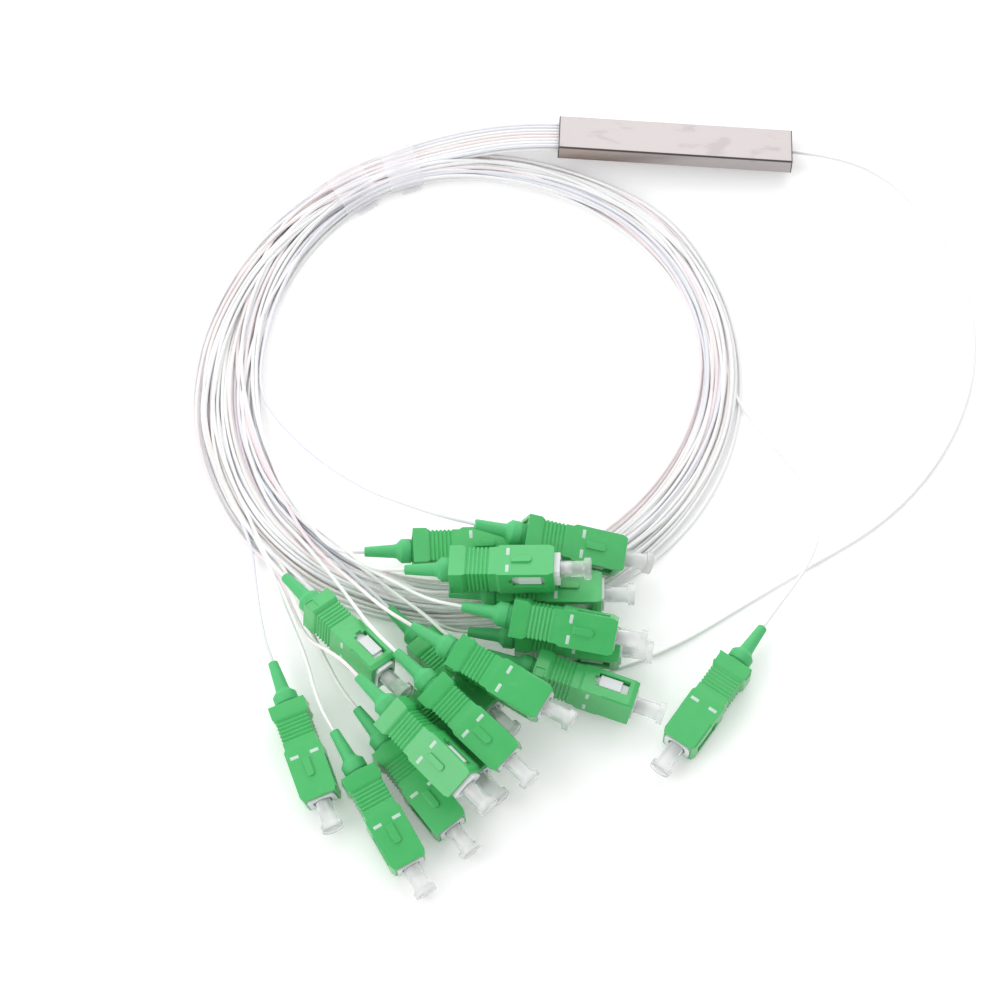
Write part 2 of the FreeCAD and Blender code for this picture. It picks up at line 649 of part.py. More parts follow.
def build_coil():
    ring = coil_face(OUTER_EDGE).cut(coil_face(INNER_EDGE))
    solid = ring.extrude(Vector(0, 0, value("dim.coil_height"))).Solids[0]
    parts = [keep("fibre_coil", solid)]
    for number in (1, 2):
        angle = value("dim.wrap_%d_angle" % number)
        length = value("dim.wrap_%d_length" % number)
        inner = edge_radius(INNER_EDGE, angle)
        outer = edge_radius(OUTER_EDGE, angle)
        sheet = value("dim.wrap_thickness")
        width = outer - inner + 2 * value("dim.wrap_gap")
        height = value("dim.coil_height")
        band = Part.makeBox(length, width + 2 * sheet, height + 2 * sheet,
                            Vector(-length / 2, -width / 2 - sheet, 0))
        band = band.cut(Part.makeBox(length, width, height, Vector(-length / 2, -width / 2, sheet)))
        placement = FreeCAD.Placement(coil_point((inner + outer) / 2, angle),
                                      FreeCAD.Rotation(Vector(0, 0, 1), angle - 90))
        parts.append(keep("tape_wrap_%d" % number, band, placement))
    return parts


# ---------------------------------------------------------------- the fibres
# Where the outlet fibres enter the coil: side by side, in two layers.
ENTRY_ANGLE = 98.0
ENTRY_INSET = 0.7
ENTRY_PITCH = 1.0
ENTRY_HEIGHTS = (1.0, 2.1)

# The share of the shorter run beside a corner that its arc takes up.
ARC_REACH = 0.45


def fibre_path(points):
    """Straight runs joined by tangent arcs, and the radii of the arcs."""
    edges = []
    radii = []
    start = points[0]
    for before, corner, after in zip(points, points[1:], points[2:]):
        arriving = (corner - before).normalize()
        leaving = (after - corner).normalize()
        half_turn = arriving.getAngle(leaving) / 2
        reach = ARC_REACH * min((corner - before).Length, (after - corner).Length)
        radius = reach / math.tan(half_turn)
        radii.append(radius)
        arc_start = corner - arriving * reach
        arc_end = corner + leaving * reach
        inward = (leaving - arriving).normalize()
        arc_middle = corner + inward * (radius / math.cos(half_turn) - radius)
        edges.append(Part.LineSegment(start, arc_start).toShape())
        edges.append(Part.Arc(arc_start, arc_middle, arc_end).toShape())
        start = arc_end
    edges.append(Part.LineSegment(start, points[-1]).toShape())
    return Part.Wire(edges), radii


def section_face(centre, direction, across):
    """The plain flat-sided section of a fibre, with one flat towards across."""
    sides = int(value("dim.fibre_sides"))
    u = (across - direction * across.dot(direction)).normalize()
    v = direction.cross(u)
    size = value(FIBRE_CORNER)
    corners = []
    for index in range(sides + 1):
        angle = 2 * math.pi * (index + 0.5) / sides
        corners.append(centre + u * (size * math.cos(angle)) + v * (size * math.sin(angle)))
    return Part.Face(Part.makePolygon(corners))


def fibre_solid(points, across):
    """One fibre: its section pushed along every run and turned through every arc."""
    path, radii = fibre_path(points)
    face = section_face(points[0], (points[1] - points[0]).normalize(), across)
    area = face.Area
    pieces = []
    for edge in path.Edges:
        if isinstance(edge.Curve, Part.Line):
            step = edge.Vertexes[-1].Point - edge.Vertexes[0].Point
            pieces.append(face.extrude(step))
            face = face.translated(step)
        else:
            circle = edge.Curve
            turn = math.degrees(edge.Length / circle.Radius)
            pieces.append(face.revolve(circle.Center, circle.Axis, turn))
            face = face.rotated(circle.Center, circle.Axis, turn)
    solid = pieces[0].multiFuse(pieces[1:]).removeSplitter().Solids[0]
    if abs(solid.Volume / (area * path.Length) - 1) > 0.001:
        raise ValueError("a fibre's volume is not its section times its length")
    return solid, radii


def build_fibres(module):
    """Two stretches of each fibre: out of the tube into the coil, and out of the coil to its plug."""
    axis_y = module.Rotation.multVec(Vector(0, 1, 0))
    row_length = int(value("dim.hole_count"))
    hole_depth = value("dim.sleeve_length / 2 - dim.end_plug_recess - dim.end_plug_depth / 2")
    mouth = value("dim.sleeve_length / 2 + dim.outlet_run")
    parts = []
    for index, (plug, (lead, route)) in enumerate(zip(PLUGS, TAILS)):
        if index < len(PLUGS) - 1:
            label = "output_fibre_%02d" % (index + 1)
            column, row = index % row_length, index // row_length
            y = (column - (row_length - 1) / 2) * value("dim.hole_pitch")
            z = (row - 0.5) * value("dim.row_pitch")
            inner = edge_radius(INNER_EDGE, ENTRY_ANGLE)
            entry = coil_point(inner + ENTRY_INSET + ENTRY_PITCH * column, ENTRY_ANGLE)
            entry.z = ENTRY_HEIGHTS[row]
            head = [module.multVec(Vector(-hole_depth, y, z)),
                    module.multVec(Vector(-mouth, y, z)), entry]
        else:
            label = "input_fibre"
            head = [module.multVec(Vector(hole_depth, 0, 0)), module.multVec(Vector(mouth, 0, 0))]
            head += [Vector(*point) for point in INPUT_ROUTE]
        place = plug_placement(plug)
        back = place.Rotation.multVec(Vector(-1, 0, 0))
        tip = place.multVec(Vector(-value("dim.boot_reach"), 0, 0))
        tail = [tip, tip + back * lead] + [Vector(*p) for p in route]
        head_solid, head_radii = fibre_solid(head, axis_y)
        tail_solid, tail_radii = fibre_solid(tail, place.Rotation.multVec(Vector(0, 1, 0)))
        print(label, "radii", ["%.1f" % radius for radius in head_radii + tail_radii])
        parts.append(keep(label, Part.makeCompound([head_solid, tail_solid])))
    return parts


# ---------------------------------------------------------------- build, check and write
module_place = module_placement()
parts = build_module(module_place) + build_coil() + build_plugs() + build_fibres(module_place)
doc.recompute()

for item in doc.Objects:
    if "Invalid" in item.State or "Error" in item.State:
        raise ValueError("failed: " + item.Name)
for part in parts:
    if part.Shape.isNull() or not part.Shape.isValid():
        raise ValueError("bad shape: " + part.Label)

os.makedirs("parts", exist_ok=True)
for part in parts:
    part.Shape.exportStep(os.path.join("parts", part.Label + ".step"))
print(len(parts), "sub-parts")
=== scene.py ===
# %% [markdown]
# # A fibre splitter with sixteen outputs
# A slim steel tube holds a glass chip that shares the light of one fibre out to sixteen.  The
# fibres lie in a loose coil held by two wraps of clear tape, and each ends in a green push-pull
# plug with a clear dust cap.  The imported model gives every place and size.  This lesson adds
# the round fibres, the turned and moulded pieces and the finishes.

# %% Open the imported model
import random
from math import atan2, cos, degrees, hypot, pi, radians, sin

import bmesh
import bpy
from mathutils import Euler, Matrix, Vector


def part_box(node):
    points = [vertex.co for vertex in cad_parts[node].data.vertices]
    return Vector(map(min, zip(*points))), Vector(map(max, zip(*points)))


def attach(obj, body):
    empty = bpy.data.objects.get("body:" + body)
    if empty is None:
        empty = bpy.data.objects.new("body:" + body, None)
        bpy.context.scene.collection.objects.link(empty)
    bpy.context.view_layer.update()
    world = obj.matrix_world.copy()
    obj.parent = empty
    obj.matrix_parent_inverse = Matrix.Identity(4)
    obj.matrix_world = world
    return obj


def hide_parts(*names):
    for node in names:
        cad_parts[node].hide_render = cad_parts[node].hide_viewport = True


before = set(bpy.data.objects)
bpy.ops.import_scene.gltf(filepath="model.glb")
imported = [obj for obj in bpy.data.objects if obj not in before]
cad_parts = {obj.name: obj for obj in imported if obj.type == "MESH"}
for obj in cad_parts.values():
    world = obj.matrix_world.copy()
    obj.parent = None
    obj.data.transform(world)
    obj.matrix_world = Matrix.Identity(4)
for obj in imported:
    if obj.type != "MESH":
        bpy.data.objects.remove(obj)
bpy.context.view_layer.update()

# %% [markdown]
# ## The camera
# A long lens looks down on the table from the front, which keeps the coil's oval and the sizes
# of the plugs true.  A tracked quaternion turns the camera, so no angle has to be guessed.

# %% Set up the camera
CAMERA_AIM = Vector((-0.045, -0.0995, 0.0))
camera_data = bpy.data.cameras.new("camera")
camera_data.lens = 126.0
camera_data.sensor_width = 36.0
camera = bpy.data.objects.new("camera", camera_data)
camera.location = (-0.045, -0.4765, 0.773)
camera.rotation_euler = (CAMERA_AIM - camera.location).to_track_quat("-Z", "Y").to_euler()
bpy.context.scene.collection.objects.link(camera)
bpy.context.scene.camera = camera
print("camera", round((CAMERA_AIM - camera.location).length, 3), "m from its aim")

# %% [markdown]
# ## Where things lie
# Each plug has a place, the middle of its rear face, a turn in degrees, yaw, pitch and roll,
# and how far its housing is slid back.  Its own +X points at the dust cap.  The tube has a
# place of its own too.  A matrix for each lets a piece be modelled once, lying along +X at the
# origin, and then be put in place.

# %% Places of the plugs and the tube
PLUGS = [
    ((-0.0654, -0.1175, 0.0089), (3, 4, 2), 0.0007),
    ((-0.0393, -0.1164, 0.0156), (-6, 17, 10), 0.0002),
    ((-0.0555, -0.126, 0.0166), (-2, -5, -12), 0.0014),
    ((-0.045, -0.1285, 0.0084), (-1, -1, -7), 0.0006),
    ((-0.042, -0.138, 0.0162), (-11, 2, 32), 0.0001),
    ((-0.0405, -0.1388, 0.0055), (-7, 0, 8), 0.0005),
    ((-0.0366, -0.1487, 0.0087), (-18, 6, 262), 0.0004),
    ((-0.0554, -0.1475, 0.0168), (-32, 3, 193), 0.0003),
    ((-0.0635, -0.14, 0.0053), (-48, -3, 2), 0.0005),
    ((-0.0607, -0.1562, 0.0162), (-44, 6, 18), 0.0002),
    ((-0.0886, -0.133, 0.0094), (-48, -6, 259), 0.0009),
    ((-0.0698, -0.1627, 0.0164), (-46, 4, 33), 0.001),
    ((-0.0714, -0.1674, 0.006), (-52, 4, 6), 0.0002),
    ((-0.078, -0.175, 0.0076), (-60, 8, 4), 0.0005),
    ((-0.095, -0.157, 0.0054), (-70, 2, 10), 0.0005),
    ((-0.066, -0.1555, 0.0048), (-49, 0, 0), 0.0005),
    ((0.011, -0.146, 0.0048), (-125, 1, 179), 0.0003),
]
OUTPUTS = 16
TUBE_TURN = (-3, 2, -16)


def placing(place, turn):
    """The matrix of a piece that lies at a place, turned by yaw, pitch and roll in degrees."""
    yaw, pitch, roll = (radians(angle) for angle in turn)
    return Matrix.Translation(place) @ Euler((roll, pitch, yaw)).to_matrix().to_4x4()


def cad_node(index, kind):
    """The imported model's name for a plug's own node, such as output_housing_03."""
    return "output_%s_%02d" % (kind, index + 1) if index < OUTPUTS else "input_" + kind


def piece_name(kind, index):
    """The name of a new piece, such as boot_03, or boot_input on the input plug."""
    return "%s_%02d" % (kind, index + 1) if index < OUTPUTS else kind + "_input"


def shared_node(index, kind):
    """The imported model's node for a small piece, such as output_boots for all the outputs."""
    return "output_%ss" % kind if index < OUTPUTS else "input_" + kind


plug_places = [placing(place, turn) for place, turn, _ in PLUGS]
sleeve_low, sleeve_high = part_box("steel_sleeve")
tube_place = placing((sleeve_low + sleeve_high) / 2, TUBE_TURN)
print(len(plug_places), "plugs; the tube's middle is", round(tube_place.translation.z, 5), "m up")

# %% [markdown]
# ## The fibres
# Each buffered fibre is 0.9 mm across and about a metre long: out of the tube, round the coil,
# and away to its plug.  A quadratic spline through a few dozen control points bends as evenly
# as the real jacket does.  Both ends are routes of a few points.  The turns between them are
# worked out by a loop, because sixty strands lie there and none may pass through another.

# %% Routes of the fibres
FIBRE = 0.0009
BOOT_REACH, BOOT_DEPTH = 0.0123, 0.003
TAILS = [
    (0.006, [(-0.0885, -0.113, 0.0063), (-0.091, -0.1075, 0.0022)]),
    (0.008, [(-0.0668, -0.1102, 0.019), (-0.078, -0.102, 0.011),
             (-0.092, -0.089, 0.0045), (-0.1045, -0.073, 0.0016)]),
    (0.008, [(-0.083, -0.118, 0.0125), (-0.0955, -0.103, 0.0022)]),
    (0.006, [(-0.07, -0.1245, 0.0065), (-0.0765, -0.119, 0.0022)]),
    (0.008, [(-0.0695, -0.127, 0.0105), (-0.079, -0.1195, 0.0055), (-0.0855, -0.114, 0.0022)]),
    (0.005, [(-0.063, -0.1325, 0.004), (-0.068, -0.127, 0.0022)]),
    (0.008, [(-0.063, -0.1345, 0.0095), (-0.07, -0.1275, 0.0055), (-0.076, -0.121, 0.0022)]),
    (0.008, [(-0.08, -0.127, 0.011), (-0.088, -0.117, 0.005), (-0.0938, -0.109, 0.0023)]),
    (0.006, [(-0.082, -0.1195, 0.0022)]),
    (0.008, [(-0.0805, -0.1325, 0.0125), (-0.0872, -0.121, 0.007), (-0.0938, -0.111, 0.0023)]),
    (0.007, [(-0.1048, -0.1086, 0.002)]),
    (0.006, [(-0.087, -0.1445, 0.0125), (-0.091, -0.1395, 0.006),
             (-0.0945, -0.1315, 0.0028), (-0.099, -0.1195, 0.0018)]),
    (0.007, [(-0.0877, -0.142, 0.0045), (-0.0933, -0.1295, 0.0026), (-0.0978, -0.117, 0.0017)]),
    (0.008, [(-0.0913, -0.144, 0.0065), (-0.097, -0.13, 0.0042), (-0.1015, -0.116, 0.0016)]),
    (0.007, [(-0.104, -0.1252, 0.003), (-0.1058, -0.11, 0.0016)]),
    (0.006, [(-0.084, -0.134, 0.0032), (-0.0925, -0.122, 0.0019)]),
    (0.007, [(0.0295, -0.1195, 0.0038), (0.0335, -0.1085, 0.0018), (0.0305, -0.0965, 0.0006),
             (0.0235, -0.0855, 0.0006), (0.0165, -0.077, 0.0008), (0.0118, -0.067, 0.0015)]),
]
INPUT_ROUTE = [
    (0.056, -0.008, 0.0006), (0.073, -0.033, 0.00055), (0.075, -0.068, 0.00055),
    (0.056, -0.102, 0.00055), (0.022, -0.123, 0.00055), (-0.01, -0.144, 0.00055),
    (-0.042, -0.1515, 0.00055), (-0.074, -0.143, 0.00055), (-0.0945, -0.119, 0.0008),
]
HOLE_PITCH, ROW_PITCH, HOLES = 0.00115, 0.0013, 8
HOLE_START, TUBE_MOUTH, OUTLET_RUN = 0.0271, 0.03, 0.039
COIL_CENTRE = Vector((-0.052, -0.060, 0))
INNER_EDGE = (0.0553, (0.0016, -0.0049), (-0.0017, 0.0008), (0.0019, 0.0004))
OUTER_EDGE = (0.0688, (-0.0010, -0.0062), (-0.0005, 0.0016), (-0.0001, -0.0010))
ENTRY_ANGLE, ENTRY_INSET, ENTRY_PITCH, ENTRY_HEIGHTS = 98.0, 0.0047, 0.001, (0.0024, 0.0037)


def edge_radius(edge, angle):
    """Radius of the coil's inner or outer edge, a mean and three harmonics, at an angle."""
    mean, *harmonics = edge
    turn = radians(angle)
    waves = (c * cos(k * turn) + s * sin(k * turn) for k, (c, s) in enumerate(harmonics, 1))
    return mean + sum(waves)


def coil_point(angle, radius, height):
    """The point at an angle in degrees round the coil's middle, a radius and a height."""
    turn = radians(angle)
    return COIL_CENTRE + Vector((radius * cos(turn), radius * sin(turn), height))


def route_head(index):
    """Points from inside the tube's end to the coil."""
    if index == OUTPUTS:
        straight = [(HOLE_START, 0, 0), (OUTLET_RUN, 0, 0)]
        return [tube_place @ Vector(p) for p in straight] + [Vector(p) for p in INPUT_ROUTE]
    column, row = index % HOLES, index // HOLES
    across = (column - (HOLES - 1) / 2) * HOLE_PITCH
    up = (row - 0.5) * ROW_PITCH
    outlet = [tube_place @ Vector((-along, across, up)) for along in (HOLE_START, OUTLET_RUN)]
    radius = edge_radius(INNER_EDGE, ENTRY_ANGLE) + ENTRY_INSET + ENTRY_PITCH * column
    return outlet + [coil_point(ENTRY_ANGLE, radius, ENTRY_HEIGHTS[row])]


def route_tail(index):
    """Points from the coil to the boot, the last of them a little inside the boot's tip."""
    lead, points = TAILS[index]
    ends = [(-BOOT_REACH - lead, 0, 0), (-BOOT_REACH, 0, 0), (-BOOT_REACH + BOOT_DEPTH, 0, 0)]
    return [Vector(p) for p in reversed(points)] + [plug_places[index] @ Vector(p) for p in ends]


print("longest tail has", max(len(points) for _, points in TAILS) + 3, "points")

# %% [markdown]
# ## The coil
# Every strand gets a lane across the coil, from 0 at the inner edge to 1 at the outer one, that
# wanders by a slow and a quick drift, and a height that rises from its first turn to its last.
# It comes from the tube into its lane over JOIN of a turn, and goes from there to its tail over
# PART of a turn.  Near the tape wraps the later turns gather at the inner side, and a fibre that
# has just come out of the tube lies on top of the others.  At each station round the coil the
# strands are then pushed apart until they touch side by side, as real ones do under their own
# weight.

# %% The coil's edges and stations
STATION, WHOLE_TURNS = 20, 2
FIRST_OUTPUT_STATION, FIRST_INPUT_STATION, LAST_GAP = 120, 220, 9
MIDDLE_LANES = (0.3, 0.7)
SLOW_DRIFT = ((0.12, 0.3), (0.25, 0.5))
QUICK_DRIFT = ((0.05, 0.16), (0.8, 1.3))
JOIN, PART = 0.45, 0.4
GATHER, GATHER_FROM, GATHER_ANGLE, GATHER_HOLD, GATHER_REACH = 0.45, 0.6, 92, 1.6, 34
LIFT, LIFT_FADE = 0.7, 0.25
SPLINE_CUT = (1 + cos(radians(STATION / 2)) ** 2) / 2
luck = random.Random(16)


def round_coil(point):
    """A point's angle about the coil's middle in degrees, from 0 to 360, and its radius."""
    x, y = point.x - COIL_CENTRE.x, point.y - COIL_CENTRE.y
    return degrees(atan2(y, x)) % 360, hypot(x, y)


def lane_at(angle, radius):
    """How far across the coil a radius lies: 0 at the inner edge and 1 at the outer one."""
    inner, outer = edge_radius(INNER_EDGE, angle), edge_radius(OUTER_EDGE, angle)
    return (radius - inner) / (outer - inner)


def smooth(share):
    """Eases a share in and out, and keeps it from 0 to 1."""
    share = min(1.0, max(0.0, share))
    return share * share * (3 - 2 * share)


def strand_stations(index):
    """The angles of one fibre's stations, its lane at each, and its height before settling."""
    leaves, leaving_radius = round_coil(route_tail(index)[0])
    enters, entering_radius = round_coil(route_head(index)[-1])
    first_lane, last_lane = lane_at(enters, entering_radius), lane_at(leaves, leaving_radius)
    if index < OUTPUTS:
        start, end, way = ENTRY_ANGLE, leaves + 360 * WHOLE_TURNS, 1
        angles = list(range(FIRST_OUTPUT_STATION, int(end) - LAST_GAP, STATION))
    else:
        start, end, way = enters, leaves - 360 * WHOLE_TURNS, -1
        angles = list(range(FIRST_INPUT_STATION, int(end) + LAST_GAP, -STATION))
    drift = [(luck.uniform(*size), luck.uniform(*waves), luck.uniform(0, 2 * pi))
             for size, waves in (SLOW_DRIFT, QUICK_DRIFT)]
    middle = luck.uniform(*MIDDLE_LANES)
    stations = []
    for angle in angles:
        gone = (angle - start) * way / 360
        left = (end - angle) * way / 360
        lane = middle + sum(a * sin(2 * pi * f * gone + p) for a, f, p in drift)
        lane = first_lane + (lane - first_lane) * smooth(gone / JOIN)
        lane = last_lane + (lane - last_lane) * smooth(left / PART)
        if gone > GATHER_FROM:
            away = abs(angle % 360 - GATHER_ANGLE) / GATHER_REACH
            lane *= 1 - GATHER * smooth(GATHER_HOLD - away)
        climb = gone / (gone + left) + LIFT * smooth(1 - gone / LIFT_FADE)
        stations.append([angle, lane, climb])
    return stations


strands = [strand_stations(index) for index in range(len(PLUGS))]
print(sum(len(stations) for stations in strands), "stations on", len(strands), "fibres")

# %% Settle the strands beside and on each other
PILE, TABLE_GAP = 0.0034, 0.0001
LOW = FIBRE / 2 + TABLE_GAP
ROUNDS, SINK, SPACING = 90, 0.00002, 1.03 * FIBRE


def settle(section, inner, outer):
    """Moves the strands of one section, each [radius, height], until none is in another."""
    for _ in range(ROUNDS):
        for strand in section:
            strand[1] -= SINK
        for first in range(len(section)):
            for second in range(first + 1, len(section)):
                a, b = section[first], section[second]
                across, up = b[0] - a[0], b[1] - a[1]
                apart = hypot(across, up)
                if apart < SPACING:
                    push = (SPACING - apart) / (2 * max(apart, 1e-6))
                    a[0] -= across * push
                    a[1] -= up * push
                    b[0] += across * push
                    b[1] += up * push
        for strand in section:
            strand[0] = min(max(strand[0], inner), outer)
            strand[1] = max(strand[1], LOW)


sections = {}
for stations in strands:
    for station in stations:
        angle, lane, climb = station
        inner, outer = edge_radius(INNER_EDGE, angle), edge_radius(OUTER_EDGE, angle)
        spot = [inner + lane * (outer - inner), LOW + climb * PILE]
        sections.setdefault(angle % 360, []).append(spot)
        station.append(spot)
for angle, section in sorted(sections.items()):
    settle(section, edge_radius(INNER_EDGE, angle), edge_radius(OUTER_EDGE, angle))
heights = [spot[1] for section in sections.values() for spot in section]
print("the coil is", round(max(heights), 4), "m high")

# %% Draw the fibres
def coil_points(stations):
    """Control points of a fibre's turns, set out a little, because the spline cuts inside."""
    return [coil_point(angle, radius / SPLINE_CUT, height)
            for angle, _, _, (radius, height) in stations]


def fibre_curve(name, points):
    """One open, round, smooth fibre: a bevel of one metre, scaled down by each point's radius."""
    curve = bpy.data.curves.new(name, "CURVE")
    curve.dimensions = "3D"
    curve.bevel_depth = 1.0
    curve.bevel_resolution = 3
    curve.use_fill_caps = True
    line = curve.splines.new("NURBS")
    line.points.add(len(points) - 1)
    for control, point in zip(line.points, points):
        control.co = (*point, 1)
        control.radius = FIBRE / 2
    line.order_u = 3
    line.use_endpoint_u = True
    line.resolution_u = 8
    fibre = bpy.data.objects.new(name, curve)
    bpy.context.scene.collection.objects.link(fibre)
    return fibre


fibres = []
for index, stations in enumerate(strands):
    points = route_head(index) + coil_points(stations) + route_tail(index)
    fibres.append(fibre_curve(piece_name("fibre", index), points))
print(len(fibres), "fibres, the first with", len(fibres[0].data.splines[0].points), "points")

# %% [markdown]
# ## Finishes
# A finish is a small network of nodes.  Writing its sums as plain expressions keeps it
# readable, so one small class stands for a socket and turns each sum into a Math node.  All
# patterns read Object coordinates, in metres, and so keep their true size on every piece.

# %% Sockets that can be added and multiplied
class Wire:
    """A socket of a finish.  Sums with numbers and other wires add Math nodes."""

    def __init__(self, finish, socket):
        self.finish, self.socket = finish, socket

    def sum(self, operation, first, second):
        """Adds one Math node."""
        return self.finish.node("ShaderNodeMath", {"operation": operation}, {0: first, 1: second})

    def __add__(self, other):
        return self.sum("ADD", self, other)

    def __mul__(self, other):
        return self.sum("MULTIPLY", self, other)

    def __sub__(self, other):
        return self.sum("SUBTRACT", self, other)

    def __rsub__(self, other):
        return self.sum("SUBTRACT", other, self)

    def size(self):
        """How far from zero it is, whichever side."""
        return self.sum("ABSOLUTE", self, 0)

    def most(self, other):
        """The larger of two."""
        return self.sum("MAXIMUM", self, other)

    def above(self, limit, width):
        """A mask that rises from 0 to 1 round a limit, over a width."""
        return self.finish.node("ShaderNodeMapRange", {"interpolation_type": "SMOOTHSTEP"},
                                {0: self, 1: limit - width / 2, 2: limit + width / 2})

    __radd__, __rmul__ = __add__, __mul__


class Finish:
    """A material or a world, its shader, and the one way in which a node is added to it."""

    def __init__(self, holder, shader="Principled BSDF", **constants):
        holder.use_nodes = True
        self.material, self.tree = holder, holder.node_tree
        self.shader = self.tree.nodes[shader]
        self.place = self.node("ShaderNodeTexCoord", output="Object")
        self.set(**constants)

    def feed(self, socket, given):
        """Links a wire to a socket, or sets the socket to a constant."""
        if isinstance(given, Wire):
            self.tree.links.new(given.socket, socket)
        elif isinstance(given, tuple) and len(given) == 3 and socket.type == "RGBA":
            socket.default_value = (*given, 1)
        else:
            socket.default_value = given

    def node(self, kind, settings=None, values=None, output=0):
        """Adds a node: its settings first, then what its sockets are given."""
        made = self.tree.nodes.new(kind)
        for name, setting in (settings or {}).items():
            setattr(made, name, setting)
        for name, given in (values or {}).items():
            self.feed(made.inputs[name], given)
        return Wire(self, made.outputs[output])

    def turn_pattern(self, place, turn):
        """Reads patterns in the piece's own frame, where it is turned by yaw, pitch and roll."""
        yaw, pitch, roll = (radians(angle) for angle in turn)
        self.place = self.node("ShaderNodeMapping", {"vector_type": "TEXTURE"},
                               {"Vector": self.place, "Location": tuple(place),
                                "Rotation": (roll, pitch, yaw)})

    def part(self, axis):
        """The pattern's place along X, Y or Z, in metres."""
        return self.node("ShaderNodeSeparateXYZ", {}, {0: self.place}, output=axis)

    def noise(self, scale, detail, stretch=(1, 1, 1)):
        """Soft noise from 0 to 1, scale lumps to the metre."""
        place = self.node("ShaderNodeVectorMath", {"operation": "MULTIPLY"},
                          {0: self.place, 1: stretch})
        return self.node("ShaderNodeTexNoise", {}, {"Vector": place, "Scale": scale,
                                                    "Detail": detail})

    def mix(self, share, first, second):
        """From the first colour to the second as share goes from 0 to 1."""
        return self.node("ShaderNodeMix", {"data_type": "RGBA"},
                         {0: share, 6: first, 7: second}, output=2)

    def set(self, **links):
        """Feeds sockets of the shader, named with _ for each space."""
        for socket, given in links.items():
            self.feed(self.shader.inputs[socket.replace("_", " ")], given)

    def bump(self, height, depth):
        """Small relief: height from 0 to 1, depth in metres."""
        self.set(Normal=self.node("ShaderNodeBump", {}, {"Height": height, "Distance": depth}))


# %% [markdown]
# ### Moulded plastics
# The housings are moulded in a bright, slightly glossy green that hides a fine spark-eroded
# grain.  The boots are softer and more matt.  The frames are a hard white, the caps a clear
# soft plastic that has gone a little cloudy.

# %% Green, white and clear plastic
def moulded(name, deep, pale, rough, grain, coat=0.0):
    """A moulded plastic: faint clouds of colour, patches of gloss and a fine grain."""
    finish = Finish(bpy.data.materials.new(name), Coat_Roughness=0.2, IOR=1.5)
    clouds = finish.noise(220, 3)
    fine = finish.noise(5200, 2)
    scuffs = finish.noise(1400, 4, (0.35, 1, 1)).above(0.66, 0.08)
    finish.set(Base_Color=finish.mix(clouds * 0.8 + scuffs * 0.2, deep, pale),
               Roughness=rough + 0.12 * clouds + 0.1 * scuffs,
               Coat_Weight=coat * (1 - scuffs))
    finish.bump(fine + 0.5 * scuffs, grain)
    return finish.material


green_housing = moulded("green_housing", (0.052, 0.47, 0.120), (0.084, 0.54, 0.168), 0.26,
                        0.00001, coat=0.25)
green_boot = moulded("green_boot", (0.066, 0.48, 0.155), (0.098, 0.56, 0.205), 0.5, 0.00002)
white_frame = moulded("white_frame", (0.78, 0.80, 0.83), (0.86, 0.87, 0.89), 0.35, 0.00001)
print_white = moulded("print_white", (0.52, 0.70, 0.60), (0.66, 0.80, 0.73), 0.5, 0.000008)


def clear_plastic(name, colour, clear, rough):
    """A clear plastic with a faint bloom that comes and goes over the surface."""
    finish = Finish(bpy.data.materials.new(name), Transmission_Weight=clear, IOR=1.46)
    bloom = finish.noise(600, 3)
    finish.set(Base_Color=finish.mix(bloom, colour, (0.96, 0.97, 0.97)),
               Roughness=rough + 0.15 * bloom)
    finish.bump(finish.noise(2600, 2), 0.00001)
    return finish.material


clear_cap = clear_plastic("clear_cap", (0.95, 0.96, 0.96), 0.72, 0.09)
print("plastics made")

# %% [markdown]
# ### Fibre jackets
# The jackets are white, but each took up a slightly different tint when it was drawn, so four
# near-white finishes are shared out among the fibres.  A little gloss shows that they are
# smooth.

# %% Four tints of jacket
def jacket(name, tint, shade):
    """A smooth jacket with long soft patches of a second tint."""
    finish = Finish(bpy.data.materials.new(name), IOR=1.5)
    along = finish.noise(28, 2)
    finish.set(Base_Color=finish.mix(along.above(0.5, 0.4), tint, shade),
               Roughness=0.26 + 0.14 * finish.noise(900, 2))
    finish.bump(finish.noise(1500, 2), 0.00002)
    return finish.material


jackets = [
    jacket("jacket_white", (0.97, 0.97, 0.97), (0.93, 0.93, 0.94)),
    jacket("jacket_rose", (0.96, 0.89, 0.90), (0.94, 0.82, 0.85)),
    jacket("jacket_grey", (0.90, 0.90, 0.95), (0.82, 0.83, 0.89)),
    jacket("jacket_cream", (0.96, 0.93, 0.91), (0.89, 0.84, 0.82)),
]

# %% [markdown]
# ### Steel, glass, glue and tape
# The tube is drawn stainless steel: fine lines run along it, and cloudy stains from handling
# dull it in places.  Its front upper edge and its sawn rims get a painted dark reflection, and
# its front gets a painted warm reflection towards the left.  What lies inside it is plain but
# still finished, because the part may be opened.

# %% Steel
SLEEVE = (0.060, 0.012, 0.004)
BAND_DEPTH, BAND_HEIGHT, RIM, FADE = 0.00034, 0.0004, 0.00028, 0.0002
# where the painted warm reflection on the front face starts and fades, and how deep the front
# face's band is
WARM_FROM, WARM_FADE, SKIN = 0.010, 0.03, 0.0001
# colour of the painted dark reflection on the tube's front upper edge and sawn rims
DARK_REFLECTION_COLOUR = (0.04, 0.035, 0.035)


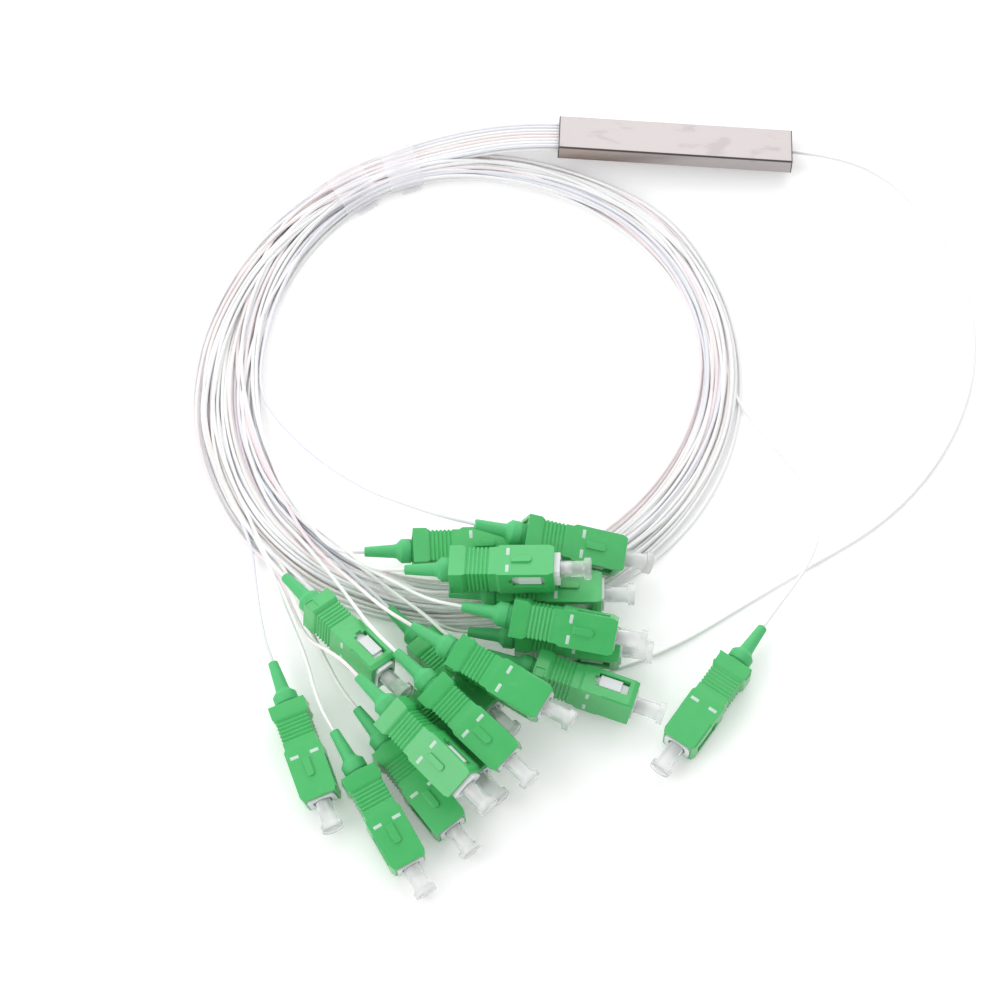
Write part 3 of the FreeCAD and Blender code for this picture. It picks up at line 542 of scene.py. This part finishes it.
def drawn_steel():
    """Drawn steel with a painted dark reflection on its front upper edge and sawn rims."""
    half_length, half_width, half_height = (side / 2 for side in SLEEVE)
    finish = Finish(bpy.data.materials.new("drawn_steel"))
    finish.turn_pattern(tube_place.translation, TUBE_TURN)
    lines = finish.noise(1, 3, (60, 9000, 9000))
    stains = finish.noise(130, 5, (1, 1.8, 1)).above(0.62, 0.08)
    front = -1 * finish.part("Y")
    # painted dark reflection: the front upper edge and the sawn rims are darkened and made less
    # metallic
    corner = (front.above(half_width - BAND_DEPTH, FADE)
              * finish.part("Z").above(half_height - BAND_HEIGHT, FADE))
    rims = finish.part("X").size().above(half_length - RIM, FADE)
    edges = corner.most(rims)
    body = finish.mix(lines, (0.385, 0.35, 0.352), (0.415, 0.38, 0.382))
    stained = finish.mix(stains * 0.22, body, (0.31, 0.27, 0.27))
    # painted warm reflection on the front face, strongest towards the left
    left = (-1 * finish.part("X")).above(WARM_FROM, WARM_FADE)
    painted_warm_reflection = left * front.above(half_width - SKIN, SKIN)
    with_warm_reflection = finish.mix(painted_warm_reflection * 0.7, stained, (0.34, 0.26, 0.22))
    finish.set(Base_Color=finish.mix(edges * 0.9, with_warm_reflection, DARK_REFLECTION_COLOUR),
               Metallic=1 - 0.8 * edges, Roughness=0.27 + 0.08 * lines + 0.1 * stains)
    finish.bump(lines, 0.000004)
    return finish.material


steel = drawn_steel()
print("steel has", len(steel.node_tree.nodes), "nodes")

# %% Ceramic, silica, glue, bare fibre, end plugs
def simple_solid(name, first, second, rough, scale):
    """A plain solid with clouds of a second colour and a fine grain."""
    finish = Finish(bpy.data.materials.new(name))
    clouds = finish.noise(scale, 3)
    finish.set(Base_Color=finish.mix(clouds, first, second), Roughness=rough + 0.15 * clouds)
    finish.bump(finish.noise(scale * 8, 2), 0.00001)
    return finish.material


ceramic = simple_solid("ceramic", (0.86, 0.86, 0.85), (0.92, 0.92, 0.90), 0.08, 400)
silica = simple_solid("silica", (0.62, 0.68, 0.72), (0.74, 0.79, 0.82), 0.05, 300)
glue = simple_solid("glue", (0.74, 0.62, 0.36), (0.82, 0.72, 0.48), 0.2, 350)
bare_glass = simple_solid("bare_glass", (0.80, 0.83, 0.85), (0.88, 0.90, 0.91), 0.1, 500)
end_rubber = simple_solid("end_rubber", (0.06, 0.055, 0.055), (0.10, 0.09, 0.09), 0.5, 500)


def clear_tape():
    """A few layers of clear tape: milky where the layers part, clearer where they stick."""
    finish = Finish(bpy.data.materials.new("clear_tape"), IOR=1.45)
    milk = finish.noise(300, 2, (0.6, 1, 1))
    finish.set(Base_Color=finish.mix(milk, (0.92, 0.90, 0.95), (0.95, 0.93, 0.97)),
               Roughness=0.3 + 0.1 * milk, Alpha=0.17 + 0.08 * milk)
    finish.bump(milk, 0.000004)
    return finish.material


tape = clear_tape()
print("finishes made:", len(bpy.data.materials))

# %% [markdown]
# ## Tools for modelling
# An operator works on whatever is selected, so the first habit is to clear the selection.  The
# second is to end each piece the same way: join doubled points, turn the faces outwards, round
# the edges, and shade smooth only across soft angles.

# %% Selection and finishing
def clear_selection():
    if bpy.context.object and bpy.context.object.mode != "OBJECT":
        bpy.ops.object.mode_set(mode="OBJECT")
    bpy.ops.object.select_all(action="DESELECT")


def pick(kind, test):
    """In edit mode, selects only the parts of a kind, EDGE or FACE, that pass the test."""
    bpy.ops.mesh.select_mode(type=kind)
    mesh = bmesh.from_edit_mesh(bpy.context.object.data)
    parts = mesh.faces if kind == "FACE" else mesh.edges
    for part in parts:
        part.select_set(False)
    for part in [part for part in parts if test(part)]:
        part.select_set(True)
    bmesh.update_edit_mesh(bpy.context.object.data)


def runs_along(edge):
    """Whether an edge lies along X."""
    along = (edge.verts[0].co - edge.verts[1].co).normalized()
    return abs(along.x) > 0.9


def apply_modifier(piece, kind, **settings):
    """Adds a modifier, sets it and applies it at once."""
    modifier = piece.modifiers.new(kind.lower(), kind)
    for name, setting in settings.items():
        setattr(modifier, name, setting)
    bpy.ops.object.modifier_apply(modifier=modifier.name)


def finish_piece(name, material, round_edges, segments=2):
    """Ends the modelling of the piece in edit mode, and gives it a name and its finish."""
    bpy.ops.mesh.select_mode(type="VERT")
    bpy.ops.mesh.select_all(action="SELECT")
    bpy.ops.mesh.remove_doubles(threshold=0.000001)
    bpy.ops.mesh.normals_make_consistent(inside=False)
    bpy.ops.object.mode_set(mode="OBJECT")
    piece = bpy.context.object
    bpy.ops.object.transform_apply(location=True, rotation=True, scale=True)
    if round_edges:
        apply_modifier(piece, "BEVEL", width=round_edges, segments=segments,
                       limit_method="ANGLE", angle_limit=radians(28))
    bpy.ops.object.shade_smooth_by_angle(angle=radians(32))
    piece.name = piece.data.name = name
    piece.data.materials.clear()
    piece.data.materials.append(material)
    return piece


def placed_copy(piece, name, matrix):
    """A copy with its own mesh, moved in the mesh so that its object stays at the origin."""
    copy = bpy.data.objects.new(name, piece.data.copy())
    copy.data.name = name
    copy.data.transform(matrix)
    bpy.context.scene.collection.objects.link(copy)
    return copy


def put_away(piece):
    """Removes a pattern piece once its copies are made."""
    bpy.data.objects.remove(piece)


# %% [markdown]
# ## Turned pieces
# Boots, ferrules and dust caps are round all the way along.  Each starts as a filled circle and
# is drawn out ring by ring: extrude the end face, then scale it.  A profile that turns back on
# itself makes a bore, which is how the cap becomes hollow.

# %% Draw out a round piece
def turned(profile, sides=32):
    """Extrudes a circle along +X through rings given as place and radius."""
    clear_selection()
    start, radius = profile[0]
    bpy.ops.mesh.primitive_circle_add(vertices=sides, radius=radius, fill_type="NGON",
                                      location=(start, 0, 0), rotation=(0, pi / 2, 0))
    bpy.ops.object.transform_apply(location=True, rotation=True, scale=True)
    bpy.ops.object.mode_set(mode="EDIT")
    bpy.ops.mesh.select_mode(type="FACE")
    bpy.ops.mesh.select_all(action="SELECT")
    for (from_x, from_radius), (to_x, to_radius) in zip(profile, profile[1:]):
        step = {"value": (to_x - from_x, 0, 0)}
        bpy.ops.mesh.extrude_region_move(TRANSFORM_OT_translate=step)
        share = to_radius / from_radius
        bpy.ops.transform.resize(value=(1, share, share), center_override=(to_x, 0, 0))


# %% The boot
turned([(-0.0123, 0.00075), (-0.0123, 0.0011), (-0.0120, 0.0012), (-0.0052, 0.00165),
        (-0.0046, 0.0018), (-0.0038, 0.0026), (-0.0034, 0.00295), (-0.0012, 0.00295),
        (-0.0010, 0.0027), (0.0005, 0.0027)])
MOULDED_EDGE, CAP_EDGE = 0.00012, 0.00008
boot = finish_piece("boot", green_boot, MOULDED_EDGE)
print("boot:", len(boot.data.polygons), "faces")

# %% The ferrule
FERRULE, POLISHED_AT, LEAN = 0.00125, 0.02732, 8
turned([(0.017, FERRULE), (0.0269, FERRULE), (0.0274, 0.00095)])
bpy.ops.mesh.select_all(action="SELECT")
bpy.ops.mesh.bisect(plane_co=(POLISHED_AT, 0, 0), use_fill=True, clear_outer=True,
                    plane_no=(cos(radians(LEAN)), 0, sin(radians(LEAN))))
ferrule = finish_piece("ferrule", ceramic, 0)
print("ferrule: its polished end leans by", LEAN, "degrees")

# %% The dust cap
turned([(0.0323, 0.0021), (0.0323, 0.0027), (0.0307, 0.0027), (0.0307, 0.00205),
        (0.0300, 0.00195), (0.0194, 0.00195), (0.0190, 0.0018), (0.0190, 0.0013),
        (0.0278, 0.0013)])
cap = finish_piece("cap", clear_cap, CAP_EDGE)
print("dust cap:", len(cap.data.polygons), "faces")

# %% [markdown]
# ## The steel tube
# The sleeve is a drawn tube with small outer radii.  A cube is stretched to size, its four long
# edges are bevelled, its two ends are taken off, and Solidify gives the sheet its thickness
# inwards, so that the outside keeps its size.  The tape wraps start as the same open tube.

# %% An open tube
def open_tube(size, middle, corner, segments):
    """A box along X with rounded long edges and no ends, left in edit mode."""
    clear_selection()
    bpy.ops.mesh.primitive_cube_add(size=1, location=middle, scale=size)
    bpy.ops.object.transform_apply(location=True, rotation=True, scale=True)
    bpy.ops.object.mode_set(mode="EDIT")
    pick("EDGE", runs_along)
    bpy.ops.mesh.bevel(offset=corner, segments=segments)
    pick("FACE", lambda face: abs(face.normal.x) > 0.9)
    bpy.ops.mesh.delete(type="FACE")


# %% Model the sleeve
SLEEVE_CORNER, SHEET, RIM_EDGE = 0.00035, 0.0003, 0.00006
open_tube(SLEEVE, (0, 0, 0), SLEEVE_CORNER, 5)
pattern = finish_piece("sleeve_pattern", steel, 0)
apply_modifier(pattern, "SOLIDIFY", thickness=SHEET, offset=-1, use_even_offset=True)
apply_modifier(pattern, "BEVEL", width=RIM_EDGE, segments=2, limit_method="ANGLE",
               angle_limit=radians(50))
bpy.ops.object.shade_smooth_by_angle(angle=radians(35))
sleeve = placed_copy(pattern, "tube", tube_place)
put_away(pattern)
print("tube:", len(sleeve.data.polygons), "faces")

# %% [markdown]
# ## Tape wraps
# Two wraps of clear tape hold the coil near the tube.  Each is a flattened sleeve round the
# strands with soft corners, and has a small rounded flap on the inner side where the tape is
# stuck to itself.

# %% Model the wraps
WRAPS = [(109.0, 0.0088), (123.0, 0.0100)]
WRAP_GAP, WRAP_LIFT, WRAP_CORNER, FILM = 0.0012, 0.0006, 0.42, 0.00008
FLAP_WIDTH, FLAP_CORNER, FLAP_HEIGHT = 0.0014, 0.0006, 0.0004
FLAP_SHIFT, FLAP_SHARE, FLAP_TURN = 0.12, 0.6, (radians(8), 0, radians(2))


def pile_top(angle):
    """Height of the strands at the stations on both sides of an angle."""
    near = [a for a in sections if abs(a - angle) <= STATION]
    return max(spot[1] for a in near for spot in sections[a]) + FIBRE / 2


def wrap(number, angle, length):
    """One wrap round the strands at an angle of the coil, with its flap on the inner side."""
    inner, outer = edge_radius(INNER_EDGE, angle), edge_radius(OUTER_EDGE, angle)
    width, height = outer - inner + 2 * WRAP_GAP, pile_top(angle) + WRAP_LIFT
    open_tube((length, width, height), (0, 0, height / 2), WRAP_CORNER * height, 6)
    pick("EDGE", runs_along)
    bpy.ops.mesh.subdivide(number_cuts=7)
    finish_piece("sheet_of_tape", tape, 0)
    body = bpy.context.object
    clear_selection()
    bpy.ops.mesh.primitive_plane_add(
        size=1, location=(FLAP_SHIFT * length, -width / 2, FLAP_HEIGHT), rotation=FLAP_TURN)
    bpy.context.object.scale = (FLAP_SHARE * length, FLAP_WIDTH, 1)
    bpy.ops.object.transform_apply(location=False, rotation=False, scale=True)
    bpy.ops.object.mode_set(mode="EDIT")
    bpy.ops.mesh.bevel(offset=FLAP_CORNER, segments=6, affect="VERTICES")
    finish_piece("flap_of_tape", tape, 0)
    body.select_set(True)
    bpy.context.view_layer.objects.active = body
    bpy.ops.object.join()
    apply_modifier(body, "SOLIDIFY", thickness=FILM, offset=0)
    bpy.ops.object.shade_smooth_by_angle(angle=radians(50))
    place = placing(coil_point(angle, (inner + outer) / 2, TABLE_GAP), (angle - 90, 0, 0))
    piece = placed_copy(body, "wrap_%d" % number, place)
    put_away(body)
    return piece


wraps = [wrap(number, *sizes) for number, sizes in enumerate(WRAPS, 1)]
print("wraps:", [tuple(round(1000 * side, 1) for side in piece.dimensions) for piece in wraps])

# %% [markdown]
# ## White marks
# Each housing has two short white bars printed across both wide faces, in front of the grip.
# They are thin slabs with soft edges that stand a hair proud of the green.

# %% Model the marks
MARK = (0.0008, 0.0021, 0.00010)
MARK_PLACE, MARK_OFFSET, FACE_HEIGHT = 0.0140, 0.0025, 0.0037
MARK_SINK, MARK_EDGE = 0.00002, 0.00002
slabs = []
for side in (-1, 1):
    for face in (-1, 1):
        clear_selection()
        bpy.ops.mesh.primitive_cube_add(
            size=1, scale=MARK,
            location=(MARK_PLACE, side * MARK_OFFSET, face * (FACE_HEIGHT - MARK_SINK)))
        bpy.ops.object.mode_set(mode="EDIT")
        slabs.append(finish_piece("mark", print_white, MARK_EDGE))
clear_selection()
for slab in slabs:
    slab.select_set(True)
bpy.context.view_layer.objects.active = slabs[0]
bpy.ops.object.join()
marks = bpy.context.object
print("marks:", len(slabs), "bars on one housing")

# %% [markdown]
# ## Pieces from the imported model
# Housings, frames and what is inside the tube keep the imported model's own meshes.  Modifiers
# do the moulder's work on them: weld the loose triangles, dissolve flat seams, round every
# edge, and let the large faces lead the shading.

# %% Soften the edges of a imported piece
def soften(name, material, width):
    """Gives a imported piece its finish, edges rounded to a width and even shading."""
    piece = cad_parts[name]
    clear_selection()
    piece.select_set(True)
    bpy.context.view_layer.objects.active = piece
    if piece.data.has_custom_normals:
        bpy.ops.mesh.customdata_custom_splitnormals_clear()
    bpy.ops.object.shade_smooth()
    piece.data.materials.clear()
    piece.data.materials.append(material)
    weld = piece.modifiers.new("weld", "WELD")
    weld.merge_threshold = 0.000002
    seams = piece.modifiers.new("dissolve_flat_seams", "DECIMATE")
    seams.decimate_type = "DISSOLVE"
    seams.angle_limit = radians(1)
    if width:
        rounding = piece.modifiers.new("round_edges", "BEVEL")
        rounding.width, rounding.segments = width, 2
        rounding.limit_method, rounding.angle_limit = "ANGLE", radians(20)
        rounding.use_clamp_overlap = False
    shading = piece.modifiers.new("shade_by_area", "WEIGHTED_NORMAL")
    shading.keep_sharp = False
    return piece


housings = [soften(cad_node(index, "housing"), green_housing, MOULDED_EDGE)
            for index in range(len(PLUGS))]
for name in ("output_frames", "input_frame"):
    soften(name, white_frame, MOULDED_EDGE)
INNER_PIECES = [
    ("splitter_chip", silica, 0.0001), ("output_fibre_array", silica, 0.0001),
    ("input_fibre_array", silica, 0.0001), ("adhesive_bed", glue, 0.0001),
    ("output_ribbon", bare_glass, 0.0001), ("bare_input_fibre", bare_glass, 0.00008),
    ("output_end_plug", end_rubber, 0), ("input_end_plug", end_rubber, 0),
]
for sizes in INNER_PIECES:
    soften(*sizes)
print("softened", len(housings) + 2 + len(INNER_PIECES), "packed pieces")

# %% [markdown]
# ## Putting it together
# Each turned piece is copied to its plug, and every piece is told which moving body it rides
# on.  The housings slide on their frames, so the marks ride on them.  All else rides with the
# splitter.

# %% Copy the plug pieces into place
def add_piece(piece, body, material_slot, *nodes):
    """Puts a piece on a body and, where it has any, in place of nodes; material_slot is not used.
    """
    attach(piece, body)
    if nodes:
        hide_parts(*nodes)
    return piece


add_piece(sleeve, "splitter", "steel", "steel_sleeve")
for number, piece in enumerate(wraps, 1):
    add_piece(piece, "splitter", "clear_tape", "tape_wrap_%d" % number)

for index, place in enumerate(plug_places):
    grip = place @ Matrix.Translation((-PLUGS[index][2], 0, 0))
    for pattern, kind, material_slot in ((boot, "boot", "green_boot"),
                                         (ferrule, "ferrule", "ceramic"),
                                         (cap, "dust_cap", "clear_cap")):
        copy = placed_copy(pattern, piece_name(kind, index), place)
        add_piece(copy, "splitter", material_slot, shared_node(index, kind))
    bars = placed_copy(marks, piece_name("marks", index), grip)
    body = "grip_" + (piece_name("output", index) if index < OUTPUTS else "input")
    add_piece(bars, body, "green_housing")
for pattern in (boot, ferrule, cap, marks):
    put_away(pattern)

# %% [markdown]
# ## The fibres on the splitter
# Each fibre rides with the splitter, takes one of four jacket tints and stands in for the
# imported fibre and coil.  The real fibre is limp and 0.9 mm across.  It leaves the tube at one
# of its mouths and ends in its plug.

OUTPUT_LENGTH, INPUT_LENGTH = 1.0, 1.1
TINTS = (0, 2, 0, 1, 0, 3, 0, 1, 2, 0, 0, 1, 3, 0, 2, 0, 0)
for index, fibre in enumerate(fibres):
    add_piece(fibre, "splitter", "fibre_jacket", cad_node(index, "fibre"), "fibre_coil")
    fibre.data.materials.append(jackets[TINTS[index]])
    mouth = tube_place @ Vector((TUBE_MOUTH if index == OUTPUTS else -TUBE_MOUTH, 0, 0))
    INPUT_LENGTH if index == OUTPUTS else OUTPUT_LENGTH
print(len(fibres), "fibres declared")

# %% [markdown]
# ## Table, light and backdrop
# The table is white and so is the studio round it.  The table's own colour takes the light and
# the soft shadows.  A weak glow that only the camera and shiny pieces see lifts it to white
# without lighting the object.  A broad lamp behind on the left gives the steel its bright top
# and the plugs their short shadows, and the white world fills the rest.  High in front, where
# the camera stands, the world is dark, and that gives rounded and shiny surfaces some contrast.

# %% The table
clear_selection()
bpy.ops.mesh.primitive_plane_add(size=6)
table = bpy.context.object
table.name = "table"
table_finish = Finish(bpy.data.materials.new("table_white"), Roughness=0.9)
table_finish.set(Base_Color=table_finish.mix(table_finish.noise(4, 2), (0.90, 0.90, 0.90),
                                             (0.92, 0.92, 0.92)))


def seen_plainly(finish, *kinds):
    """1 for the rays that look at a backdrop, 0 for those that carry light to the object."""
    rays = [finish.node("ShaderNodeLightPath", output="Is %s Ray" % kind) for kind in kinds]
    return sum(rays[1:], rays[0])


GLOW = 0.24
glow = table_finish.node("ShaderNodeEmission", {}, {"Strength": GLOW})
seen = seen_plainly(table_finish, "Camera", "Glossy", "Transmission")
lifted = table_finish.node("ShaderNodeMixShader", {}, {0: seen, 2: glow})
lit = Wire(table_finish, table_finish.shader.outputs[0])
both = table_finish.node("ShaderNodeAddShader", {}, {0: lit, 1: lifted})
table_finish.feed(table_finish.tree.nodes["Material Output"].inputs["Surface"], both)
table.data.materials.append(table_finish.material)
print("table ready")

# %% The light
DARK_CORNER, DARK_FROM, DARK_FADE = (0.0, -0.44, 0.90), 0.87, 0.12
WORLD_LIGHT, DARKENING = 0.86, 0.66
world = bpy.data.worlds.new("studio")
studio = Finish(world, "Background", Color=(1, 1, 1))
direction = studio.node("ShaderNodeTexCoord", output="Generated")
towards = studio.node("ShaderNodeVectorMath", {"operation": "DOT_PRODUCT"},
                      {0: direction, 1: DARK_CORNER}, output="Value")
light = WORLD_LIGHT - DARKENING * towards.above(DARK_FROM, DARK_FADE)
seen = seen_plainly(studio, "Camera", "Transmission")
studio.set(Strength=light + seen * (1 - light))
bpy.context.scene.world = world
bpy.context.scene.view_settings.view_transform = "Standard"


def softbox(name, place, size, watts):
    """A square lamp that faces what the camera looks at."""
    lamp = bpy.data.lights.new(name, "AREA")
    lamp.shape, lamp.size, lamp.energy = "SQUARE", size, watts
    holder = bpy.data.objects.new(name, lamp)
    holder.location = place
    holder.rotation_euler = (CAMERA_AIM - holder.location).to_track_quat("-Z", "Y").to_euler()
    bpy.context.scene.collection.objects.link(holder)


softbox("softbox_back", (0.1, 1.3, 0.85), 2.0, 15)
softbox("softbox_front", (-0.9, -0.5, 0.8), 0.8, 5)

# %% [markdown]
# ## Finish
# The selection is cleared at the end.

# %% Clear the selection
clear_selection()
